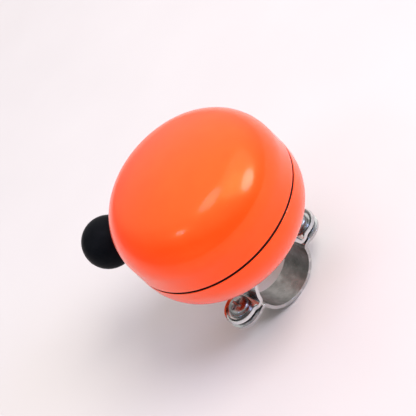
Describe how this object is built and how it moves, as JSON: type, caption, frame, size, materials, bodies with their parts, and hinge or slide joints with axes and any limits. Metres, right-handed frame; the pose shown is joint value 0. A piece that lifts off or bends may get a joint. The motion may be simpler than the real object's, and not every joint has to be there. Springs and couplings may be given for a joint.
{
  "type": "bicycle bell",
  "caption": "Round double-dome bicycle bell with a geared thumb lever, a ball knob and a two-screw handlebar clamp.",
  "frame": {"origin": "where the handlebar clamp's bore axis crosses the bell's own axis", "axes": "+Z along the bell axis to the top dome, +Y along the handlebar, X through the clamp's two ears; the thumb lever leaves between -X and +Y"},
  "size_m": [0.063, 0.0735, 0.0746],
  "materials": {
    "dome_paint": "glossy bright orange enamel",
    "knob_plastic": "glossy black moulded plastic",
    "zinc_steel": "bright zinc plate, slightly cloudy",
    "spring_steel": "bare spring steel",
    "brass": "machined",
    "fibre": "matt vulcanised fibre"
  },
  "bodies": {
    "root": {"top_dome": "dome_paint", "lower_shell": "dome_paint", "dome_boss": "zinc_steel", "centre_post": "zinc_steel", "base_screw": "zinc_steel", "spacer_washer": "fibre", "spacer_sleeve": "zinc_steel", "clamp_saddle": "zinc_steel", "clamp_strap": "zinc_steel", "clamp_screw_left": "zinc_steel", "clamp_screw_right": "zinc_steel", "clamp_nut_left": "zinc_steel", "clamp_nut_right": "zinc_steel", "mechanism_plate": "zinc_steel", "lever_pivot": "zinc_steel", "lever_clip": "spring_steel", "spring_post": "zinc_steel", "lever_spring": "spring_steel", "intermediate_stud": "zinc_steel", "intermediate_clip": "spring_steel", "rotor_clip": "spring_steel"},
    "rotor": {"rotor_pinion": "brass", "rotor_arm": "zinc_steel", "rotor_pin_upper": "zinc_steel", "rotor_pin_lower": "zinc_steel"},
    "lever": {"thumb_lever": "zinc_steel", "lever_knob": "knob_plastic"},
    "intermediate": {"intermediate_wheel": "brass", "intermediate_pinion": "zinc_steel"},
    "striker_upper": {"striker_upper": "spring_steel"},
    "striker_lower": {"striker_lower": "spring_steel"}
  },
  "joints": [
    {"name": "rotor_spin", "type": "hinge", "parent": "root", "child": "rotor", "pos_m": [0, 0, 0.031], "axis": [0, 0, 1], "range_deg": [0, 396]},
    {"name": "lever_swing", "type": "hinge", "parent": "root", "child": "lever", "pos_m": [-0.01543, 0.01272, 0.0333], "axis": [0, 0, 1], "range_deg": [0, 38], "stiffness_Nm_per_rad": 0.05, "springref_deg": -17.19},
    {"name": "intermediate_spin", "type": "hinge", "parent": "root", "child": "intermediate", "pos_m": [-0.01344, -0.00517, 0.031], "axis": [0, 0, 1], "range_deg": [-133, 0]},
    {"name": "striker_upper_slide", "type": "slide", "parent": "rotor", "child": "striker_upper", "axis": [0.5664, 0.8241, 0], "range_m": [-0.0012, 0.0012]},
    {"name": "striker_lower_slide", "type": "slide", "parent": "rotor", "child": "striker_lower", "axis": [-0.5664, -0.8241, 0], "range_m": [-0.0012, 0.0012]}
  ],
  "couplings": [
    {"joint": "lever_swing", "follows": "rotor_spin", "ratio": 0.095238},
    {"joint": "intermediate_spin", "follows": "rotor_spin", "ratio": -0.33333}
  ]
}
